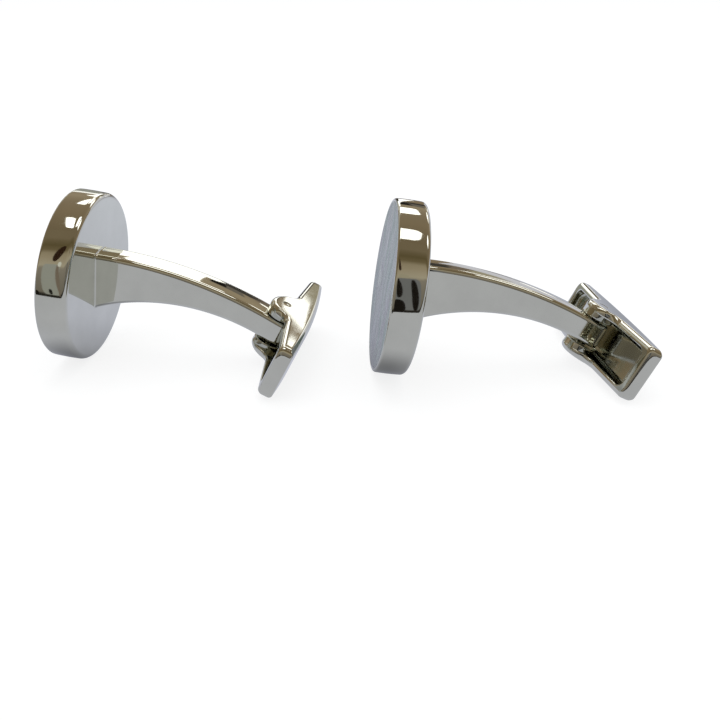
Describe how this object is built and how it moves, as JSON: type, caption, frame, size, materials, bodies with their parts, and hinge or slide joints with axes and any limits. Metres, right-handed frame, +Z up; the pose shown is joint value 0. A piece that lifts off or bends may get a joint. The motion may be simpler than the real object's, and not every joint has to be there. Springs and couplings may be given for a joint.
{
  "type": "cufflink",
  "caption": "Whale-back cufflinks: round polished heads with a flush pearl inlay, curved posts, and hollow toggles that swing on a pin over a leaf spring.",
  "frame": {"origin": "centre of the floor area under the pair, on the floor", "axes": "+X from the heads towards the toggles, +Y away from the viewer of the picture, +Z up"},
  "size_m": [0.062, 0.022, 0.0182],
  "materials": {
    "left_head_cup": "mirror-polished plated metal",
    "left_inlay_bed": "set adhesive",
    "left_pearl_inlay": "polished mother-of-pearl, pale blue-grey",
    "left_post": "mirror-polished plated metal",
    "left_pivot_pin": "polished steel",
    "left_toggle": "mirror-polished plated metal",
    "left_leaf_spring": "spring steel",
    "right_head_cup": "mirror-polished plated metal",
    "right_inlay_bed": "set adhesive",
    "right_pearl_inlay": "polished mother-of-pearl, pale blue-grey",
    "right_post": "mirror-polished plated metal",
    "right_pivot_pin": "polished steel",
    "right_toggle": "mirror-polished plated metal",
    "right_leaf_spring": "spring steel"
  },
  "bodies": {
    "left_link": {"left_head_cup": "left_head_cup", "left_inlay_bed": "left_inlay_bed", "left_pearl_inlay": "left_pearl_inlay", "left_post": "left_post"},
    "left_toggle_group": {"left_toggle": "left_toggle", "left_pivot_pin": "left_pivot_pin", "left_leaf_spring": "left_leaf_spring"},
    "right_link": {"right_head_cup": "right_head_cup", "right_inlay_bed": "right_inlay_bed", "right_pearl_inlay": "right_pearl_inlay", "right_post": "right_post"},
    "right_toggle_group": {"right_toggle": "right_toggle", "right_pivot_pin": "right_pivot_pin", "right_leaf_spring": "right_leaf_spring"}
  },
  "joints": [
    {"name": "left_toggle_swing", "type": "hinge", "parent": "left_link", "child": "left_toggle_group", "pos_m": [-0.0074, -0.00032, 0.00396], "axis": [0.4569, -0.0496, 0.8881], "range_deg": [-85, 85]},
    {"name": "right_toggle_swing", "type": "hinge", "parent": "right_link", "child": "right_toggle_group", "pos_m": [0.02611, -0.00116, 0.00396], "axis": [0.4571, 0.063, 0.8872], "range_deg": [-90.6, 79.4]},
    {"name": "right_lift_away", "type": "slide", "parent": "left_link", "child": "right_link", "axis": [0, 0, 1], "range_m": [0, 0.03]}
  ]
}
